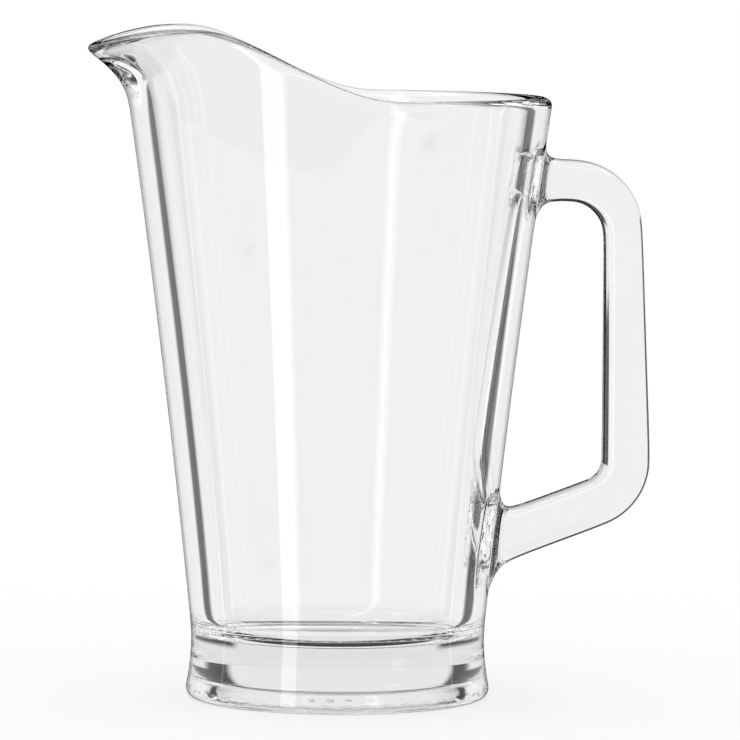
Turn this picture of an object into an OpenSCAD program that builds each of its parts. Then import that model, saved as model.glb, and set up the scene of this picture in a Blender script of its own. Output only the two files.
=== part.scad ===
// Clear pressed-glass beer pitcher: a tapered vessel on a heavy foot, with a swept-up pouring spout
// and an open handle. The glass is divided at plain seams into the members that a glassworker names:
// foot ring, base, vessel wall, rim band, spout, and a handle in three lengths.
// Millimetres. The vessel's axis is Z, the table is z = 0, the spout points to -X and the handle to +X.

/* [Vessel] */
// Height of the level rim above the table
rim_h = 207.8; // [185:1:230]
// Outside radius at the rim
rim_r = 73.2; // [66:0.5:80]
// Outside radius at the waist, just above the foot
waist_r = 50.6; // [46:0.2:56]
// Height of the waist above the table
waist_h = 22; // [18:0.5:26]
// How far the side bows in halfway up
side_bow = 1; // [0:0.1:2]
// Thickness of the wall, measured level
wall_t = 7.5; // [5:0.1:8.5]
// Height of the rounded edge along the rim and lip
rim_round = 2.4; // [1:0.1:3]
// Depth of the rim band below the rim
band_h = 14; // [10:0.5:16]

/* [Base] */
// How far the foot stands out beyond the waist
foot_flare = 2; // [1:0.1:4]
// Height at which the foot is widest
heel_h = 3; // [2:0.5:4.5]
// How far the heel turns in from the foot's widest point to the standing ring
heel_inset = 2.8; // [1.5:0.1:4]
// Width of the flat standing ring
standing_w = 6.3; // [5.5:0.1:10]
// Height of the recess under the base, at its edge
recess_h = 6; // [5:0.25:8]
// How far the recess narrows from its mouth to its roof
recess_draft = 1.5; // [0.5:0.1:3]
// How far the recess roof rises from its edge to its middle
recess_dome = 1.5; // [0.5:0.1:4]
// Height of the vessel's floor above the table
floor_h = 21.5; // [16:0.5:28]
// Radius of the inside corner between floor and wall
corner_r = 8; // [4:0.5:11]
// Number of flutes around the inside of the foot ring
flute_n = 40; // [24:1:44]
// Radius of a flute
flute_r = 2.5; // [1:0.1:2.5]
// How far the flutes run outwards under the standing ring
flute_run = 3; // [1:0.1:4]

/* [Spout] */
// Rise of the lip's crest above the rim
crest_rise = 23.4; // [20:0.5:34]
// Rise of the pouring tip above the rim
tip_rise = 17.6; // [13:0.5:20]
// Reach of the pouring tip beyond the rim's radius
tip_reach = 14.3; // [10:0.5:22]
// Thickness of the lip at the tip, measured level
lip_t = 6.5; // [5:0.1:8]
// Depth of the pouring channel below the lip
channel_d = 8; // [6:0.5:11]
// How far below the rim the outside starts to flare
flare_drop = 2.5; // [1:0.5:8]
// Angle from the tip at which the dip at the tip ends
dip_a = 40; // [28:1:44]
// Angle from the tip at which the lip starts to fall towards the rim
crest_a = 45; // [40:1:50]
// Angle from the tip at which the flare has faded out
flare_a = 50; // [40:1:60]
// Angle from the tip at which the rim is level again
sweep_a = 103; // [90:1:115]

/* [Handle] */
// Clear distance from the rim's radius out to the grip
grip_gap = 18; // [14:0.1:26]
// Thickness of the grip at its top
grip_t_top = 13.6; // [11:0.1:18]
// Thickness of the grip at its foot
grip_t_low = 16.4; // [12:0.1:20]
// Width of the handle, across the view
handle_w = 20; // [14:0.5:26]
// Radius of the handle's long edges
edge_r = 3; // [1:0.25:5]
// Radius of the fillet where the arms meet the wall
root_r = 5; // [2:0.25:5]
// Drop of the upper arm's top below the rim
upper_drop = 21.7; // [21:0.1:34]
// Thickness of the upper arm
upper_t = 14; // [11:0.1:17]
// Inside radius of the upper bend
upper_bend_in = 12.5; // [6:0.5:14]
// Outside radius of the upper bend
upper_bend_out = 23.5; // [14:0.5:27]
// Height at which the lower arm's underside meets the wall
lower_h = 46.2; // [40:0.1:60]
// Slope of the lower arm
lower_slope = 20.3; // [8:0.1:28]
// Thickness of the lower arm
lower_t = 14.7; // [11:0.1:19]
// Inside radius of the lower bend
lower_bend_in = 7.7; // [4:0.1:12]
// Outside radius of the lower bend
lower_bend_out = 24; // [14:0.5:30]

/* [Hidden] */
$fn = 96;
glass = [0.92, 0.95, 0.95, 0.35];

// Steps along curves that are drawn by points
side_steps = 10;
arc_steps = 8;
lip_side_steps = 11;
lip_top_steps = 6;
lip_turn_steps = 56;
bend_steps = 10;
edge_steps = 4;

// Heights and radii that follow from the sizes above
band_z = rim_h - band_h;
seam_z = floor_h + corner_r + 1;
foot_r = waist_r + foot_flare;
standing_r = foot_r - heel_inset;
recess_r = standing_r - standing_w;
flare_z = rim_h - flare_drop;
tip_z = rim_h + tip_rise;
grip_in = rim_r + grip_gap;
upper_out_z = rim_h - upper_drop;
upper_in_z = upper_out_z - upper_t;
// The arms run this far into the wall before they are trimmed to its face
root_sink = wall_t / 2;

// Eases from 0 to 1 as t goes from 0 to 1
function ease(t) = let (c = min(1, max(0, t))) c * c * (3 - 2 * c);

// The share of the way from low to high at which z lies
function share(z, low, high) = min(1, max(0, (z - low) / (high - low)));

// Radius of the wall's outside and inside at height z
function outer_r(z) =
    let (t = (z - waist_h) / (rim_h - waist_h))
    waist_r + (rim_r - waist_r) * t - 4 * side_bow * t * (1 - t);
function inner_r(z) = outer_r(z) - wall_t;

// Radius of the foot's outside between the heel and the waist
function foot_side_r(z) = waist_r + foot_flare * pow(1 - share(z, heel_h, waist_h), 2);

// Heights spread evenly from low to high
function heights(low, high, steps) = [for (k = [0:steps]) low + (high - low) * k / steps];

// Outside and inside of the wall as points of its section
function outer_side(low, high) = [for (z = heights(low, high, side_steps)) [outer_r(z), z]];
function inner_side(low, high) = [for (z = heights(high, low, side_steps)) [inner_r(z), z]];

// Height of the lip at angle a from the tip
function lip_z(a) =
    let (fall = ease((abs(a) - crest_a) / (sweep_a - crest_a)), level = 1 - ease(abs(a) / dip_a))
    rim_h + crest_rise * (1 - fall) - (crest_rise - tip_rise) * level;

// How much of the spout's flare is present at angle a from the tip
function flare_at(a) = 1 - ease(abs(a) / flare_a);

// Radius of the spout's outside and inside at angle a and height z
function spout_outer(a, z) =
    let (reach = rim_r + tip_reach - outer_r(tip_z), edge_z = lip_z(a) - rim_round)
    outer_r(z) + reach * flare_at(a) * pow(share(z, flare_z, edge_z), 2);
function spout_inner(a, z) =
    let (reach = rim_r + tip_reach - lip_t - inner_r(tip_z), edge_z = lip_z(a) - rim_round)
    inner_r(z) + reach * flare_at(a) * pow(share(z, lip_z(a) - channel_d, edge_z), 1.2);

// Section of the lip at angle a: up the outside, over the rounded edge and down the inside
function lip_section(a) =
    let (
        edge_z = lip_z(a) - rim_round,
        ro = spout_outer(a, edge_z),
        ri = spout_inner(a, edge_z),
        outside = [for (z = heights(band_z, edge_z, lip_side_steps)) [spout_outer(a, z), z]],
        edge = [for (k = [1:lip_top_steps - 1])
            let (w = 180 * k / lip_top_steps)
            [(ro + ri) / 2 + (ro - ri) / 2 * cos(w), edge_z + rim_round * sin(w)]],
        inside = [for (z = heights(edge_z, band_z, lip_side_steps)) [spout_inner(a, z), z]]
    )
    concat(outside, edge, inside);

// Joins rings of points, all of the same length, into one closed skin with flat ends
module skin(rings) {
    n = len(rings[0]);
    last = len(rings) - 1;
    sides = [for (i = [0:last - 1], k = [0:n - 1])
        let (m = (k + 1) % n)
        each [[i * n + k, i * n + m, (i + 1) * n + k], [i * n + m, (i + 1) * n + m, (i + 1) * n + k]]];
    ends = [[for (k = [n - 1:-1:0]) k], [for (k = [0:n - 1]) last * n + k]];
    polyhedron(points = [for (r = rings) each r], faces = concat(sides, ends), convexity = 6);
}

// Standing ring with the heel round its outside and flutes round its inside
module foot_ring() {
    heel = [for (k = [0:arc_steps])
        let (w = 90 * k / arc_steps)
        [standing_r + heel_inset * sin(w), heel_h * (1 - cos(w))]];
    side = [for (z = heights(heel_h, recess_h, arc_steps / 2)) [foot_side_r(z), z]];
    color(glass) difference() {
        rotate_extrude()
            polygon(concat([[recess_r, 0]], heel, [for (k = [1:len(side) - 1]) side[k]],
                           [[recess_r - recess_draft, recess_h]]));
        for (k = [0:flute_n - 1])
            rotate([0, 0, 360 * k / flute_n])
                translate([recess_r - 2 * recess_draft, 0, 0])
                    rotate([0, 90, 0])
                        cylinder(r = flute_r, h = 2 * recess_draft + flute_run);
    }
}

// Heavy bottom: the foot's side, the floor with its rounded corner, and the domed roof of the recess
module base() {
    foot_side = [for (z = heights(recess_h, waist_h, arc_steps)) [foot_side_r(z), z]];
    wall_side = [for (k = [1:2]) let (z = waist_h + (seam_z - waist_h) * k / 2) [outer_r(z), z]];
    corner_z = floor_h + corner_r;
    corner = [for (k = [0:arc_steps])
        let (w = -90 * k / arc_steps)
        [inner_r(corner_z) - corner_r + corner_r * cos(w), corner_z + corner_r * sin(w)]];
    roof_r = recess_r - recess_draft;
    dome = [for (k = [0:arc_steps])
        let (r = roof_r * k / arc_steps)
        [r, recess_h + recess_dome * (1 - pow(r / roof_r, 2))]];
    color(glass) rotate_extrude()
        polygon(concat(dome, foot_side, wall_side, [[inner_r(seam_z), seam_z]], corner, [[0, floor_h]]));
}

// Tapered side of the vessel, from the base up to the rim band
module vessel_wall() {
    color(glass) rotate_extrude()
        polygon(concat(outer_side(seam_z, band_z), inner_side(seam_z, band_z)));
}

// Level rim on the handle's side, from one end of the spout's sweep round to the other
module rim_band() {
    color(glass) rotate([0, 0, sweep_a - 180])
        rotate_extrude(angle = 360 - 2 * sweep_a)
            polygon(lip_section(sweep_a));
}

// Lip that sweeps up from the rim, with the flared channel of the pouring tip
module pouring_spout() {
    rings = [for (i = [0:lip_turn_steps])
        let (a = sweep_a - 2 * sweep_a * i / lip_turn_steps)
        [for (p = lip_section(a)) [-p[0] * cos(a), p[0] * sin(a), p[1]]]];
    color(glass) skin(rings);
}

// Outside radii and heights of the handle's two edges, as lines and bends in the XZ plane
function lower_out_z(x) = lower_h + tan(lower_slope) * (x - outer_r(lower_h));
function lower_in_z(x) = lower_out_z(x) + lower_t / cos(lower_slope);

// Where the lower arm's upper edge meets the wall, closed in on from the wall's radius
function lower_in_x(x, turns) = turns == 0 ? x : lower_in_x(outer_r(lower_in_z(x)), turns - 1);

// Point on a bend of radius r about centre c at angle w
function bend(c, r, w) = [c[0] + r * cos(w), c[1] + r * sin(w)];

// How far the fillet spreads an arm at distance d from the wall
function root_spread(d) =
    d >= root_r ? 0 : d <= 0 ? root_r : root_r - sqrt(pow(root_r, 2) - pow(root_r - d, 2));

// Distances from the wall at which an arm's root has a station
root_steps = [-root_sink, 0, root_r * 0.05, root_r * 0.2, root_r * 0.5, root_r];

// Stations of the handle: inner edge point, outer edge point and spread
upper_root = [for (d = root_steps)
    [[outer_r(upper_in_z) + d, upper_in_z], [outer_r(upper_out_z) + d, upper_out_z], root_spread(d)]];
upper_bend = [for (k = [0:bend_steps])
    let (w = 90 - 90 * k / bend_steps)
    [bend([grip_in - upper_bend_in, upper_in_z - upper_bend_in], upper_bend_in, w),
     bend([grip_in + grip_t_top - upper_bend_out, upper_out_z - upper_bend_out], upper_bend_out, w), 0]];
lower_in_c = grip_in - lower_bend_in;
lower_out_c = grip_in + grip_t_low - lower_bend_out;
lower_bend = [for (k = [0:bend_steps])
    let (w = -(90 - lower_slope) * k / bend_steps)
    [bend([lower_in_c, lower_in_z(lower_in_c) + lower_bend_in / cos(lower_slope)], lower_bend_in, w),
     bend([lower_out_c, lower_out_z(lower_out_c) + lower_bend_out / cos(lower_slope)], lower_bend_out, w), 0]];
lower_root = [for (k = [len(root_steps) - 1:-1:0])
    let (d = root_steps[k],
         along = [d * cos(lower_slope), d * sin(lower_slope)],
         x_in = lower_in_x(outer_r(lower_h), 6),
         x_out = outer_r(lower_h))
    [[x_in, lower_in_z(x_in)] + along, [x_out, lower_h] + along, root_spread(d)]];

// Ring of points round the handle at a station: a rectangle with rounded corners
function handle_ring(station) =
    let (
        span = station[1] - station[0],
        across = span / norm(span),
        middle = (station[0] + station[1]) / 2,
        half_t = norm(span) / 2 + station[2],
        half_w = handle_w / 2 + station[2]
    )
    [for (q = [0:3], k = [0:edge_steps])
        let (
            w = 90 * q + 90 * k / edge_steps,
            side_t = (q == 0 || q == 3) ? 1 : -1,
            side_w = (q < 2) ? 1 : -1,
            u = side_t * (half_t - edge_r) + edge_r * cos(w),
            v = side_w * (half_w - edge_r) + edge_r * sin(w)
        )
        [middle[0] + across[0] * u, v, middle[1] + across[1] * u]];

// Length of the handle through the given stations, trimmed to the wall's outside
module handle_length(stations) {
    color(glass) difference() {
        skin([for (s = stations) handle_ring(s)]);
        rotate_extrude()
            polygon(concat([[0, seam_z]], outer_side(seam_z, band_z), [[0, band_z]]));
    }
}

// Upper arm with its root on the wall and the bend into the grip
module handle_upper_arm() {
    handle_length(concat(upper_root, upper_bend));
}

// Upright grip between the two bends
module handle_grip() {
    color(glass) skin([handle_ring(upper_bend[bend_steps]), handle_ring(lower_bend[0])]);
}

// Lower arm with the bend from the grip and its root on the wall
module handle_lower_arm() {
    handle_length(concat(lower_bend, lower_root));
}

foot_ring();
base();
vessel_wall();
rim_band();
pouring_spout();
handle_upper_arm();
handle_grip();
handle_lower_arm();
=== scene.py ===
from math import atan2, cos, hypot, pi, radians, sin, sqrt, tan

import bmesh
import bpy
from mathutils import Matrix, Vector


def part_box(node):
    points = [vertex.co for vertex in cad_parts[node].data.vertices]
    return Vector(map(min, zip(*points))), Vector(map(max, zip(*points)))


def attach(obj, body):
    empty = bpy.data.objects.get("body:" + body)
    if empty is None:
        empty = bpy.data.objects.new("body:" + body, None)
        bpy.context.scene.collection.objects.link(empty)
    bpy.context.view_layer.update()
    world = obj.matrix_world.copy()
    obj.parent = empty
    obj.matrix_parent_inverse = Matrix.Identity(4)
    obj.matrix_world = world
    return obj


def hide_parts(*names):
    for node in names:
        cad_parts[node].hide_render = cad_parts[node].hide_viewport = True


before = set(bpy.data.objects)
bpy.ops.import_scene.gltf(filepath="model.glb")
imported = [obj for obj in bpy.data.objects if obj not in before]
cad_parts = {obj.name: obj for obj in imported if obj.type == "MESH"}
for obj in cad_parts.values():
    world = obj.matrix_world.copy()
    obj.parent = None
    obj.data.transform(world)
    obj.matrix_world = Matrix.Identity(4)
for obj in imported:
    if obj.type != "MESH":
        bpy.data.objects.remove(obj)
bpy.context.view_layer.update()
mm = 0.001
hair = 0.01 * mm
print("frame loaded:", len(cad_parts), "glass members")

# What the frame says about the vessel
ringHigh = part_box("foot_ring")[1]
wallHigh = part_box("vessel_wall")[1]
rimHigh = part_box("rim_band")[1]
spoutLow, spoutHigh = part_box("pouring_spout")
gripLow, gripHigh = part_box("handle_grip")
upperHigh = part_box("handle_upper_arm")[1]


def ease(t):
    t = min(1.0, max(0.0, t))
    return t * t * (3 - 2 * t)


def share(value, low, high):
    return min(1.0, max(0.0, (value - low) / (high - low)))


def deselectAll():
    if bpy.context.mode != "OBJECT":
        bpy.ops.object.mode_set(mode="OBJECT")
    bpy.ops.object.select_all(action="DESELECT")


# Vessel of revolution: foot, wall, rim and floor in one skin
vessel = {
    "segments": 80,  # two columns for each flute
    "footR": ringHigh.x,
    "footFlare": 2.0 * mm,
    "heelH": 3.0 * mm,
    "heelInset": 2.8 * mm,
    "standingW": 6.3 * mm,
    "recessH": ringHigh.z,
    "recessDraft": 1.5 * mm,
    "recessDome": 1.5 * mm,
    "recessEdge": 1.0 * mm,  # rounding of the recess, at its roof and its mouth
    "fluteRun": 3.0 * mm,
    "fluteH": 1.3 * mm,
    "waistZ": 22.0 * mm,
    "sideBow": 1.0 * mm,
    "wallT": 8.0 * mm,
    "floorZ": 21.5 * mm,
    "cornerR": 8.0 * mm,
    "bandZ": wallHigh.z,
    "bandR": wallHigh.x,
    "rimZ": rimHigh.z,
    "rimRound": 2.4 * mm,
    "rimCrown": 1.1,  # drawn higher and wider by these, since smoothing flattens them
    "cornerSwell": 1.03,
    "fluteRows": (0.8, 1.15),  # rows at the flutes' outer end, as shares of their run
    "heelMargin": 1.2 * mm,
    "seatGap": 5.0 * mm,  # from the handle's seats to the next row of the wall
    "floorMargin": 5.0 * mm,
    "domeRows": (3, 14, 27, 37),  # mm from the axis
    "floorRows": (14, 3),
    "footRows": (6, 9.5, 14.5, 19.5),  # mm above the table
    "waistRows": (25, 31),
    "sideRows": (94, 112, 130, 148),
    "insideRows": (170, 140, 110, 80, 56, 40),
    "bandShares": (0.12, 0.36, 0.54, 0.68, 0.79, 0.9, 1.0),  # rows of the rim band, outside
    "throatShares": (0.12, 0.4, 0.62, 0.75, 0.81, 0.87, 0.93, 1.0),  # and inside
}
waistR = vessel["footR"] - vessel["footFlare"]
standingR = vessel["footR"] - vessel["heelInset"]
recessR = standingR - vessel["standingW"]
roofR = recessR - vessel["recessDraft"]
edgeZ = vessel["rimZ"] - vessel["rimRound"]


def outerR(z):
    span = vessel["rimZ"] - vessel["waistZ"]
    band = (vessel["bandZ"] - vessel["waistZ"]) / span
    rise = (vessel["bandR"] - waistR + 4 * vessel["sideBow"] * band * (1 - band)) / band
    t = (z - vessel["waistZ"]) / span
    return waistR + rise * t - 4 * vessel["sideBow"] * t * (1 - t)


def innerR(z):
    return outerR(z) - vessel["wallT"]


def footSideR(z):
    return waistR + vessel["footFlare"] * (1 - share(z, vessel["heelH"], vessel["waistZ"])) ** 2


# Handle: where its arms meet the wall, and the bends and grip between them
handle = {
    "halfW": (gripHigh.y - gripLow.y) / 2,
    "gripIn": gripLow.x + 0.5 * mm,
    "gripTopT": 12.7 * mm,
    "gripLowT": gripHigh.x - gripLow.x - 0.3 * mm,
    "upperRoot": 5.0 * mm,  # fillets above and below the arms, where they meet the wall
    "lowerRoot": 7.0 * mm,
    "sideRoot": 2.0 * mm,  # fillet at their sides
    "cornerPull": 0.6 * mm,  # rounds the edges along the handle
    "upperOutZ": upperHigh.z - 5.0 * mm,
    "upperT": 14.3 * mm,
    "upperBendIn": 12.5 * mm,
    "upperBendOut": 23.5 * mm,
    "lowerZ": 45.3 * mm,
    "lowerSlope": radians(20.3),
    "lowerT": 15.9 * mm,
    "lowerBendIn": 7.7 * mm,
    "lowerBendOut": 24.0 * mm,
    "bendSteps": 6,
    "gripSteps": 4,
    "rootTurns": (28, 55, 90),  # stations round a root's fillet, in degrees
    "rowPull": 0.6,  # how far from the middle the section's inner rows and columns stand
    "columnPull": 0.8,
    "seatColumns": 8,  # columns of the wall, each side, that close up to the handle
    "seatSlack": 2.0 * mm,
    "seatRounds": 6,
}
upperInZ = handle["upperOutZ"] - handle["upperT"]


def lowerOutZ(x):
    return handle["lowerZ"] + tan(handle["lowerSlope"]) * (x - outerR(handle["lowerZ"]))


def lowerInZ(x):
    return lowerOutZ(x) + handle["lowerT"] / cos(handle["lowerSlope"])


# The lower arm's upper side meets the wall here: each round comes closer
lowerInX = outerR(handle["lowerZ"])
for again in range(handle["seatRounds"]):
    lowerInX = outerR(lowerInZ(lowerInX))
lowerInTop = lowerInZ(lowerInX)
upperSeat = (upperInZ - handle["upperRoot"], handle["upperOutZ"] + handle["upperRoot"])
lowerSeat = (handle["lowerZ"] - handle["lowerRoot"], lowerInTop + handle["lowerRoot"])


def arcPoints(centre, radii, start, end, steps):
    turns = [radians(start + (end - start) * k / steps) for k in range(steps + 1)]
    return [(centre[0] + radii[0] * cos(w), centre[1] + radii[1] * sin(w)) for w in turns]


def spread(low, high, parts):
    return [low + (high - low) * k / parts for k in range(parts + 1)]


def bandRows(shares):
    return [vessel["bandZ"] + (edgeZ - vessel["bandZ"]) * f for f in shares]


def vesselRings():
    v = vessel
    roof = [(r * mm, v["recessH"] + v["recessDome"] * (1 - (r * mm / roofR) ** 2)) for r in v["domeRows"]]
    e = v["recessEdge"]
    roofCorner = arcPoints((roofR - e, v["recessH"] - e), (e, e), 90, 0, 2)
    mouth = arcPoints((recessR + e, e), (e, e), 180, 270, 2)
    standing = [(recessR + v["fluteRun"] * f, 0.0) for f in v["fluteRows"]]
    standing += [(standingR - v["heelMargin"], 0.0)]
    heel = arcPoints((standingR, v["heelH"]), (v["heelInset"], v["heelH"]), 270, 360, 3)
    foot = [(footSideR(z * mm), z * mm) for z in v["footRows"]]
    rows = [z * mm for z in v["waistRows"]]
    rows += [*spread(*lowerSeat, 3), lowerSeat[1] + v["seatGap"]]
    rows += [z * mm for z in v["sideRows"]]
    rows += [upperSeat[0] - v["seatGap"], *spread(*upperSeat, 3)]
    side = [(outerR(z), z) for z in rows]
    band = [(outerR(z), z) for z in bandRows(v["bandShares"])]
    ro, ri = outerR(edgeZ), innerR(edgeZ)
    rim = arcPoints(((ro + ri) / 2, edgeZ), ((ro - ri) / 2, v["rimRound"] * v["rimCrown"]), 45, 135, 2)
    throat = [(innerR(z), z) for z in reversed(bandRows(v["throatShares"]))]
    inside = [(innerR(z * mm), z * mm) for z in v["insideRows"]]
    cornerZ = v["floorZ"] + v["cornerR"]
    cornerX = innerR(cornerZ) - v["cornerR"]
    corner = arcPoints((cornerX, cornerZ), (v["cornerR"] * v["cornerSwell"],) * 2, 0, -90, 4)
    bottomR = [cornerX - v["floorMargin"], *(r * mm for r in v["floorRows"])]
    bottom = [(r, v["floorZ"]) for r in bottomR]
    return (roof + roofCorner + mouth + standing + heel + foot
            + side + band + rim + throat + inside + corner + bottom)


def closePole():
    # the selected ring is drawn in to one point on the axis
    bpy.ops.mesh.extrude_region_move(TRANSFORM_OT_translate={"value": (0, 0, 0)})
    bpy.ops.mesh.merge(type="CENTER")


deselectAll()
rings = vesselRings()
bpy.ops.mesh.primitive_circle_add(vertices=vessel["segments"], radius=rings[0][0], fill_type="NOTHING")
glass = bpy.context.object
glass.name = glass.data.name = "pitcher_glass"
bpy.ops.object.mode_set(mode="EDIT")
bpy.ops.mesh.select_all(action="SELECT")
bpy.ops.transform.translate(value=(0, 0, rings[0][1]))
for (lastR, lastZ), (r, z) in zip(rings, rings[1:]):
    bpy.ops.mesh.extrude_region_move(TRANSFORM_OT_translate={"value": (0, 0, z - lastZ)})
    bpy.ops.transform.resize(value=(r / lastR, r / lastR, 1), center_override=(0, 0, z))
closePole()
bpy.ops.mesh.select_all(action="DESELECT")
bpy.ops.mesh.select_non_manifold()
closePole()
bpy.ops.mesh.select_all(action="SELECT")
bpy.ops.mesh.normals_make_consistent(inside=False)
bpy.ops.object.mode_set(mode="OBJECT")
print("vessel turned:", len(rings), "rings,", len(glass.data.polygons), "faces")

# Spout: the lip sweeps up round the front, and flares into a channel at the tip
spout = {
    "crestZ": spoutHigh.z,
    "tipZ": 225.4 * mm,
    "tipR": -spoutLow.x + 0.8 * mm,  # smoothing takes this off again
    "lipT": 6.5 * mm,
    "channelD": 7.4 * mm,
    "flankA": radians(15),  # from here on the channel's flank runs along the outside
    "flankRise": 4.5 * mm,  # how far above the outside's flare it starts
    "flareCurve": 2,  # powers of the rise: outside, in the channel, and what its flank adds
    "channelCurve": 1.2,
    "flankCurve": 0.4,
    "flareZ": vessel["rimZ"] - 2.5 * mm,
    "dipA": radians(40),
    "crestA": radians(45),
    "flareA": radians(50),
    "sweepA": radians(103),
}


def lipZ(a):
    fall = ease((abs(a) - spout["crestA"]) / (spout["sweepA"] - spout["crestA"]))
    level = 1 - ease(abs(a) / spout["dipA"])
    rise = spout["crestZ"] - vessel["rimZ"]
    return vessel["rimZ"] + rise * (1 - fall) - (spout["crestZ"] - spout["tipZ"]) * level


def spoutOuterR(a, z):
    reach = spout["tipR"] - outerR(spout["tipZ"])
    lift = share(z, spout["flareZ"], lipZ(a) - vessel["rimRound"]) ** spout["flareCurve"]
    return outerR(z) + reach * (1 - ease(abs(a) / spout["flareA"])) * lift


def spoutInnerR(a, z):
    reach = spout["tipR"] - spout["lipT"] - innerR(spout["tipZ"])
    flank = ease(abs(a) / spout["flankA"])
    channelZ = lipZ(a) - spout["channelD"]
    flankZ = spout["flareZ"] + spout["flankRise"]
    start = channelZ * (1 - flank) + flankZ * flank
    curve = spout["channelCurve"] + spout["flankCurve"] * flank
    lift = share(z, start, lipZ(a) - vessel["rimRound"]) ** curve
    return innerR(z) + reach * (1 - ease(abs(a) / spout["flareA"])) * lift


def liftLip(co):
    # the crown of the rim keeps its form, and the rows under it spread out up to the lip
    a = atan2(co.y, -co.x)  # angle from the tip
    r = hypot(co.x, co.y)
    lip = lipZ(a)
    top = lip - vessel["rimRound"]
    if co.z > edgeZ + hair:
        across = (r - innerR(edgeZ)) / vessel["wallT"]
        z = co.z + lip - vessel["rimZ"]
        r = spoutInnerR(a, top) * (1 - across) + spoutOuterR(a, top) * across
    else:
        outside = r > outerR(co.z) - vessel["wallT"] / 2
        z = vessel["bandZ"] + (top - vessel["bandZ"]) * share(co.z, vessel["bandZ"], edgeZ)
        r = spoutOuterR(a, z) if outside else spoutInnerR(a, z)
    return Vector((-r * cos(a), r * sin(a), z))


def seatColumns(co):
    # columns beside the handle close up to its root, along the wall
    step = 2 * pi / vessel["segments"]
    k = round(atan2(co.y, co.x) / step)
    most = handle["seatColumns"]
    if abs(k) >= most:
        return co
    r = hypot(co.x, co.y)
    root = handle["halfW"] + handle["sideRoot"]
    y = root * abs(k) / 2
    if abs(k) > 2:
        y = root + (r * sin(most * step) - root) * (abs(k) - 2) / (most - 2)
    return Vector((sqrt(r * r - y * y), y if k > 0 else -y, co.z))


def cutFlutes(co):
    # every second column rises into a flute, the ones between stay on the table
    step = 2 * pi / vessel["segments"]
    k = round(atan2(co.y, co.x) / step)
    return Vector((co.x, co.y, co.z + vessel["fluteH"] * (2 if k % 2 == 0 else -1)))


rowSlack = 1 * mm
seatRows = (lowerSeat[0] - rowSlack, upperSeat[1] + rowSlack)
for vert in glass.data.vertices:
    co = vert.co.copy()
    r = hypot(co.x, co.y)
    if co.z > vessel["bandZ"]:
        vert.co = liftLip(co)
    elif seatRows[0] < co.z < seatRows[1] and r > outerR(co.z) - rowSlack:
        vert.co = seatColumns(co)
    elif co.z < vessel["recessEdge"] / 2 and recessR < r < recessR + vessel["fluteRun"]:
        vert.co = cutFlutes(co)
print("spout lifted to", round(spout["crestZ"], 4))


def bendPoint(centre, r, w):
    return Vector((centre[0] + r * cos(w), centre[1] + r * sin(w)))


def rootStations(inner, outer, along, radius):
    # from the wall out: the fillet closes in on the arm, in the height and the width
    stations = []
    side = handle["sideRoot"]
    for turn in handle["rootTurns"]:
        out = radius * (1 - cos(radians(turn)))
        wide = radius * (1 - sin(radians(turn)))
        rise = Vector((0, wide if outer.y > inner.y else -wide))
        flare = side - sqrt(side * side - max(0.0, side - out) ** 2)
        reach = along * out
        stations.append((inner + reach - rise, outer + reach + rise, handle["halfW"] + flare))
    return stations


def handleStations():
    # each station is its inner and its outer edge, in the plane of the handle, and its half width
    h = handle
    inner = Vector((outerR(upperInZ), upperInZ))
    outer = Vector((outerR(h["upperOutZ"]), h["upperOutZ"]))
    upperRoot = rootStations(inner, outer, Vector((1, 0)), h["upperRoot"])
    inC = (h["gripIn"] - h["upperBendIn"], upperInZ - h["upperBendIn"])
    outC = (h["gripIn"] + h["gripTopT"] - h["upperBendOut"], h["upperOutZ"] - h["upperBendOut"])
    turns = [pi / 2 * (1 - k / h["bendSteps"]) for k in range(h["bendSteps"] + 1)]
    upper = [(bendPoint(inC, h["upperBendIn"], w), bendPoint(outC, h["upperBendOut"], w)) for w in turns]
    lowInX = h["gripIn"] - h["lowerBendIn"]
    lowOutX = h["gripIn"] + h["gripLowT"] - h["lowerBendOut"]
    inC = (lowInX, lowerInZ(lowInX) + h["lowerBendIn"] / cos(h["lowerSlope"]))
    outC = (lowOutX, lowerOutZ(lowOutX) + h["lowerBendOut"] / cos(h["lowerSlope"]))
    sweep = pi / 2 - h["lowerSlope"]
    turns = [-sweep * k / h["bendSteps"] for k in range(h["bendSteps"] + 1)]
    lower = [(bendPoint(inC, h["lowerBendIn"], w), bendPoint(outC, h["lowerBendOut"], w)) for w in turns]
    (topIn, topOut), (footIn, footOut) = upper[-1], lower[0]
    shares = [k / h["gripSteps"] for k in range(1, h["gripSteps"])]
    grip = [(topIn.lerp(footIn, f), topOut.lerp(footOut, f)) for f in shares]
    along = Vector((cos(h["lowerSlope"]), sin(h["lowerSlope"])))
    inner = Vector((lowerInX, lowerInTop))
    outer = Vector((outerR(h["lowerZ"]), h["lowerZ"]))
    lowerRoot = rootStations(inner, outer, along, h["lowerRoot"])[::-1]
    middle = (lower[-1][0].lerp(lowerRoot[0][0], 0.5), lower[-1][1].lerp(lowerRoot[0][1], 0.5))
    plain = [(a, b, h["halfW"]) for a, b in upper + grip + lower + [middle]]
    return upperRoot + plain + lowerRoot


def sectionPoint(inner, outer, halfW, across, width):
    # rows and columns stand near the middle, and the corners are drawn in: the edges come out round
    toMiddle = 0.5 - across
    onEdge = abs(toMiddle) > 0.4
    onSide = abs(width) > 0.9
    pull = handle["cornerPull"] if onEdge and onSide else 0.0
    across = 0.5 - toMiddle * (1.0 if onEdge else handle["rowPull"])
    point = inner.lerp(outer, across)
    drawn = (outer - inner).normalized() * (pull if toMiddle > 0 else -pull)
    y = halfW * width * (1.0 if onSide else handle["columnPull"])
    return Vector((point.x + drawn.x, y - (pull if y > 0 else -pull), point.y + drawn.y))


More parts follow.
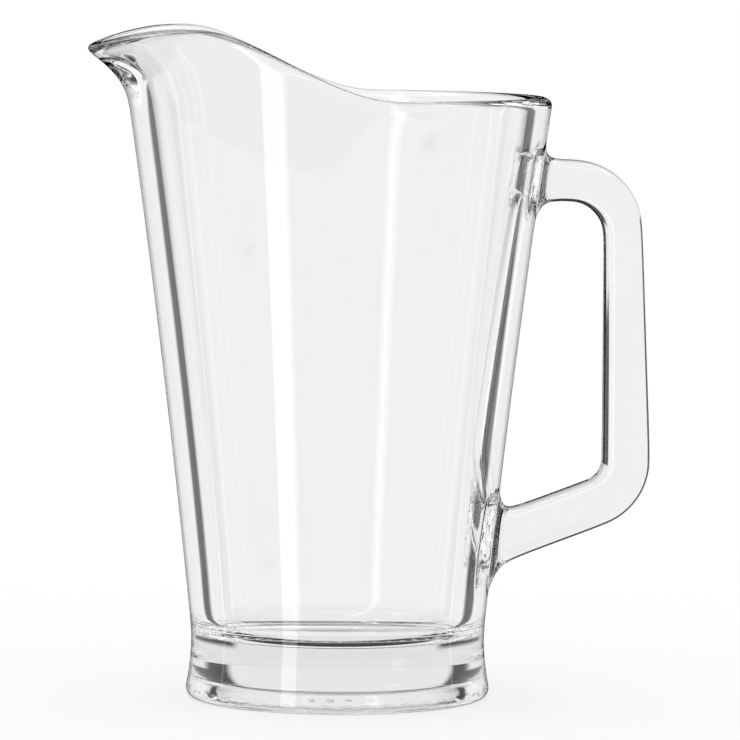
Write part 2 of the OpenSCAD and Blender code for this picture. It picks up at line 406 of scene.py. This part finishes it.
def selectSeat(lowZ, highZ):
    # the faces of the wall that an arm stands on
    reach = handle["halfW"] + handle["sideRoot"]
    for face in glass.data.polygons:
        c = face.center
        offWall = abs(hypot(c.x, c.y) - outerR(c.z))
        onWall = c.x > 0 and offWall < handle["seatSlack"]
        face.select = onWall and abs(c.y) < reach and lowZ < c.z < highZ


# The upper seat is pulled out along the stations, and its end is bridged to the lower seat
bpy.ops.object.mode_set(mode="EDIT")
bpy.ops.mesh.select_mode(type="FACE")
bpy.ops.mesh.select_all(action="DESELECT")
bpy.ops.object.mode_set(mode="OBJECT")
selectSeat(*upperSeat)
seatVerts = {i for face in glass.data.polygons if face.select for i in face.vertices}
acrossTag = glass.data.attributes.new("acrossHandle", "FLOAT", "POINT")
widthTag = glass.data.attributes.new("alongWidth", "FLOAT", "POINT")
for i in seatVerts:
    co = glass.data.vertices[i].co
    acrossTag.data[i].value = share(co.z, *upperSeat)
    widthTag.data[i].value = co.y / (handle["halfW"] + handle["sideRoot"])
bpy.ops.object.mode_set(mode="EDIT")
for inner, outer, halfW in handleStations():
    bpy.ops.mesh.extrude_region_move(TRANSFORM_OT_translate={"value": (0, 0, 0)})
    edit = bmesh.from_edit_mesh(glass.data)
    across = edit.verts.layers.float["acrossHandle"]
    width = edit.verts.layers.float["alongWidth"]
    for vert in edit.verts:
        if vert.select:
            vert.co = sectionPoint(inner, outer, halfW, vert[across], vert[width])
    bmesh.update_edit_mesh(glass.data)
bpy.ops.mesh.delete(type="FACE")
bpy.ops.object.mode_set(mode="OBJECT")
selectSeat(*lowerSeat)
bpy.ops.object.mode_set(mode="EDIT")
bpy.ops.mesh.delete(type="FACE")
bpy.ops.mesh.select_mode(type="EDGE")
bpy.ops.mesh.select_all(action="DESELECT")
bpy.ops.mesh.select_non_manifold()
bpy.ops.mesh.bridge_edge_loops()
bpy.ops.mesh.select_all(action="SELECT")
bpy.ops.mesh.normals_make_consistent(inside=False)
bpy.ops.object.mode_set(mode="OBJECT")
for name in ("acrossHandle", "alongWidth"):
    glass.data.attributes.remove(glass.data.attributes[name])
print("handle drawn out and joined:", len(glass.data.polygons), "faces")

smooth = glass.modifiers.new("smooth", "SUBSURF")
smooth.levels = smooth.render_levels = 2
smooth.boundary_smooth = "ALL"
bpy.ops.object.modifier_apply(modifier="smooth")
bpy.ops.object.shade_smooth()
print("glass smoothed:", sum(len(f.vertices) - 2 for f in glass.data.polygons), "triangles")


class Sock:
    # wraps a socket, so that shader maths reads as an expression
    def __init__(self, tree, out):
        self.tree, self.out = tree, out

    def maths(self, operation, *others):
        node = self.tree.nodes.new("ShaderNodeMath")
        node.operation = operation
        for slot, value in zip(node.inputs, (self, *others)):
            if isinstance(value, Sock):
                self.tree.links.new(value.out, slot)
            else:
                slot.default_value = value
        return Sock(self.tree, node.outputs[0])

    def __add__(self, other):
        return self.maths("ADD", other)

    __radd__ = __add__

    def __mul__(self, other):
        return self.maths("MULTIPLY", other)

    __rmul__ = __mul__

    def __sub__(self, other):
        return self.maths("SUBTRACT", other)

    def __rsub__(self, other):
        return (self * -1.0).maths("ADD", other)

    def step(self, low, high):
        # eases from 0 to 1 between low and high
        node = self.tree.nodes.new("ShaderNodeMapRange")
        node.interpolation_type = "SMOOTHSTEP"
        self.tree.links.new(self.out, node.inputs["Value"])
        node.inputs["From Min"].default_value = low
        node.inputs["From Max"].default_value = high
        return Sock(self.tree, node.outputs["Result"])


class Shader:
    # a node tree and the one way that nodes are added to it
    def __init__(self, tree):
        self.tree = tree
        tree.nodes.clear()

    def add(self, kind, settings=None, **values):
        node = self.tree.nodes.new("ShaderNode" + kind)
        for name, value in (settings or {}).items():
            setattr(node, name, value)
        for name, value in values.items():
            slot = node.inputs[name.replace("_", " ")]
            if isinstance(value, Sock):
                self.tree.links.new(value.out, slot)
            else:
                slot.default_value = value
        return {out.name: Sock(self.tree, out) for out in node.outputs}

    def join(self, source, node, slot):
        self.tree.links.new(source.out, node.inputs[slot])


def newMaterial(name):
    material = bpy.data.materials.new(name)
    material.use_nodes = True
    return material, Shader(material.node_tree)


# Clear pressed glass: faint ripple left by the mould, and a little haze in the roughness
clearGlass = {
    "index": 1.5,
    "tintA": (1.0, 1.0, 1.0, 1),
    "tintB": (0.991, 0.992, 0.99, 1),
    "rippleScale": 30.0,
    "rippleDetail": 1.0,
    "rippleHeight": 0.00004,
    "hazeScale": 90.0,
    "hazeDetail": 3.0,
    "hazeRange": (0.45, 0.8),  # of the noise
    "hazeMost": 0.012,
    "absorbColour": (0.706, 0.707, 0.703, 1),
    "absorbDensity": 6.0,
}


def glassMaterial():
    g = clearGlass
    material, shader = newMaterial("clear_pressed_glass")
    place = shader.add("TexCoord")["Object"]
    ripple = shader.add("TexNoise", Vector=place, Scale=g["rippleScale"], Detail=g["rippleDetail"])["Fac"]
    haze = shader.add("TexNoise", Vector=place, Scale=g["hazeScale"], Detail=g["hazeDetail"])["Fac"]
    # a Mix node repeats its socket names for each kind of value, so its colours go by number
    mixNode = shader.add("Mix", {"data_type": "RGBA"})["Result"].out.node
    shader.join(ripple, mixNode, 0)
    mixNode.inputs[6].default_value = g["tintA"]
    mixNode.inputs[7].default_value = g["tintB"]
    colour = Sock(shader.tree, mixNode.outputs[2])
    roughness = haze.step(*g["hazeRange"]) * g["hazeMost"]
    bump = shader.add("Bump", Height=ripple, Distance=g["rippleHeight"], Strength=1.0)["Normal"]
    surface = shader.add("BsdfPrincipled", Base_Color=colour, Roughness=roughness, Normal=bump,
                         IOR=g["index"], Transmission_Weight=1.0)["BSDF"]
    volume = shader.add("VolumeAbsorption", Color=g["absorbColour"], Density=g["absorbDensity"])["Volume"]
    shader.add("OutputMaterial", Surface=surface, Volume=volume)
    return material


glass.data.materials.clear()
glass.data.materials.append(glassMaterial())
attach(glass, "root")
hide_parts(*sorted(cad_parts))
print("glass dressed")

# Pale floor, white to the lens, with the shadow that the pitcher casts on it
floor = {"sides": 128, "radius": 0.5, "albedo": 0.3, "glow": 0.7}


def floorMaterial():
    material, shader = newMaterial("pale_floor")
    matte = shader.add("BsdfDiffuse", Color=(floor["albedo"],) * 3 + (1,))["BSDF"]
    glow = shader.add("Emission", Color=(1, 1, 1, 1), Strength=floor["glow"])["Emission"]
    lit = shader.add("AddShader")["Shader"]
    shader.join(matte, lit.out.node, 0)
    shader.join(glow, lit.out.node, 1)
    shader.add("OutputMaterial", Surface=lit)
    return material


deselectAll()
bpy.ops.mesh.primitive_circle_add(vertices=floor["sides"], radius=floor["radius"], fill_type="NGON")
ground = bpy.context.object
ground.name = ground.data.name = "pale_floor"
ground.data.materials.append(floorMaterial())
ground.visible_glossy = False  # the glass shows the white room in its place
ground.visible_transmission = False

# Studio: a white room, with dark cards beside the backdrop that draw the edges of the glass.
# Angles are in degrees. Turns count from the backdrop's middle, positive towards the handle.
studio = {
    "backdrop": 183.9,  # its middle, from the lens towards the spout
    "paper": 0.932,  # the white of the room, as the glass shows it
    "edge": 2.5,  # half of a soft edge, as are the other values named so
    "anyBounce": (0.4, 0.6),  # between no bounce and one
    "seen": {  # straight through the glass
        "middle": -4.5,  # height of the middle of the round window between the cards
        "window": 32.5,
        "cardReach": 70.0,
        "reachEdge": 5.0,
        "foot": -9.0,
        "footEdge": 1.5,
        "card": 0.03,
        "twoWalls": (2.4, 3.6),  # surfaces passed: fewer for one wall or the handle
    },
    "bounced": {  # after a bounce inside the glass
        "window": (-37.5, 34.0),
        "cardReach": 50.0,
        "highReach": 75.0,  # above the height called high
        "reachEdge": 4.0,
        "high": 7.5,
        "highEdge": 1.5,
        "low": -33.0,
        "lowEdge": 4.0,
        "top": 27.0,
        "topEdge": 5.0,
        "card": 0.05,
        "fill": 0.95,
        "deep": 1.9,  # light that the wall has led along
        "deepFrom": (4.0, 7.0),  # bounces
        "trappedFrom": (28.0, 36.0),  # bounces
        "trappedTop": (24.0, 32.0),  # heights above which trapped light still comes out
    },
    "mirror": {  # off the outside of the glass
        "front": 0.3,
        "wings": (20.0, 30.0, 65.0, 85.0),  # turns where they fade in, and where they fade out
        "wingLight": 0.5,
        "overhead": (55.0, 5.0, 2.2),  # height, half width, strength
        "strips": (  # turn, half width, strength
            (-142.5, 6.0, 3.2),
            (80.1, 1.2, 1.2),
            (-79.9, 1.2, 1.2),
        ),
        "inside": (  # the same lights, as surfaces inside the vessel mirror them
            (-145.0, 3.0, 2.0),
            (80.1, 1.2, 0.7),
            (-79.9, 1.2, 0.7),
        ),
        "stripEdge": 0.8,
    },
}


def studioWorld():
    world = bpy.data.worlds.new("studio")
    bpy.context.scene.world = world
    world.cycles.sampling_method = "NONE"  # its light depends on the kind of ray, so no map of it is made
    world.use_nodes = True
    shader = Shader(world.node_tree)
    path = shader.add("LightPath")
    way = shader.add("SeparateXYZ", Vector=shader.add("TexCoord")["Generated"])
    turn = (way["X"] * -1.0).maths("ARCTAN2", way["Y"] * -1.0) * (180 / pi)
    turn = (turn - studio["backdrop"]).maths("WRAP", 180.0, -180.0)
    side = turn.maths("ABSOLUTE")
    height = way["Z"].maths("ARCSINE") * (180 / pi)

    def soft(value, at, half):
        return value.step(at - half, at + half)

    def span(value, low, high, half=studio["edge"]):
        return soft(value, low, half) * (1 - soft(value, high, half))

    # straight through: two walls show the white room, and one wall, the handle and the foot the cards too
    s = studio["seen"]
    twoWalls = path["Transmission Depth"].step(*s["twoWalls"])
    rise = height - s["middle"]
    away = (turn * turn + rise * rise).maths("SQRT")
    pastWindow = soft(away, s["window"], studio["edge"])
    upright = (1 - soft(side, s["cardReach"], s["reachEdge"])) * soft(height, s["foot"], s["footEdge"])
    shade = pastWindow * upright
    through = (1 - (1 - twoWalls) * shade * (1 - s["card"])) * studio["paper"]

    # off the outside: tall strip lights, a light overhead, and white wings beside the backdrop
    m = studio["mirror"]

    def stripLights(strips):
        light = 0.0
        for angle, half, strength in strips:
            off = (turn - angle).maths("WRAP", 180.0, -180.0)
            light = light + span(off, -half, half, m["stripEdge"]) * strength
        return light

    fadeIn, full, fadeOut, gone = m["wings"]
    outward = side.step(fadeIn, full)
    wings = outward * (1 - side.step(fadeOut, gone))
    overAngle, overHalf, overStrength = m["overhead"]
    overhead = span(height, overAngle - overHalf, overAngle + overHalf) * overStrength
    dimRoom = outward * m["front"] + wings * (m["wingLight"] - m["front"])
    mirrored = stripLights(m["strips"]) + overhead + dimRoom

    # after a bounce: the backdrop, dark cards beside, above and under it, and a pale room
    b = studio["bounced"]
    level = soft(height, b["low"], b["lowEdge"]) * (1 - soft(height, b["top"], b["topEdge"]))
    window = span(turn, *b["window"])
    above = soft(height, b["high"], b["highEdge"])
    near = 1 - soft(side, b["cardReach"], b["reachEdge"])
    wide = 1 - soft(side, b["highReach"], b["reachEdge"])
    cards = near * (1 - above) + wide * above
    paleRoom = window * studio["paper"] + (1 - window) * (1 - cards) * b["fill"]
    fewBounces = paleRoom * level + b["card"] + stripLights(m["inside"])
    deep = path["Glossy Depth"].step(*b["deepFrom"])
    trapped = path["Glossy Depth"].step(*b["trappedFrom"]) * (1 - height.step(*b["trappedTop"]))
    inside = (1 - deep) * fewBounces + deep * (1 - trapped) * b["deep"]

    bounced = path["Glossy Depth"].step(*studio["anyBounce"])
    leaving = path["Is Transmission Ray"]
    seen = path["Is Glossy Ray"].maths("MAXIMUM", leaving)
    afterBounce = leaving * inside + (1 - leaving) * mirrored
    inGlass = bounced * afterBounce + (1 - bounced) * through
    light = seen * inGlass + (1 - seen)
    strength = path["Is Camera Ray"] + (1 - path["Is Camera Ray"]) * light
    sky = shader.add("Background", Color=(1, 1, 1, 1), Strength=strength)["Background"]
    shader.add("OutputWorld", Surface=sky)


studioWorld()
scene = bpy.context.scene
bounces = 64  # light goes far along the wall before it leaves
scene.cycles.max_bounces = bounces
scene.cycles.transmission_bounces = bounces
scene.cycles.glossy_bounces = bounces
scene.view_settings.view_transform = "Standard"
print("studio lit")

# Camera at the photograph's place
lens = {
    "azimuth": radians(-3.87),
    "elevation": radians(4.46),
    "roll": radians(-0.35),
    "distance": 2.05,
    "framePixels": 740,
    "pixelsPerUnit": 5938.0,  # image pixels for a slope of 1 from the optical axis
    "sensorWidth": 36.0,  # mm
    "clipEnd": 100.0,
    "aim": Vector((0.0107, 0.0, 0.1131)),
}


def placeCamera():
    a, e, roll = lens["azimuth"], lens["elevation"], lens["roll"]
    back = Vector((sin(a) * cos(e), -cos(a) * cos(e), sin(e)))
    right = Vector((cos(a), sin(a), 0))
    up = back.cross(right)
    tiltRight = right * cos(roll) - up * sin(roll)
    tiltUp = right * sin(roll) + up * cos(roll)
    data = bpy.data.cameras.new("camera")
    camera = bpy.data.objects.new("camera", data)
    scene.collection.objects.link(camera)
    data.sensor_width = lens["sensorWidth"]
    data.lens = lens["pixelsPerUnit"] * data.sensor_width / lens["framePixels"]
    data.clip_end = lens["clipEnd"]
    facing = Matrix((tiltRight, tiltUp, back)).transposed().to_4x4()
    camera.matrix_world = Matrix.Translation(lens["aim"] + back * lens["distance"]) @ facing
    scene.camera = camera


placeCamera()
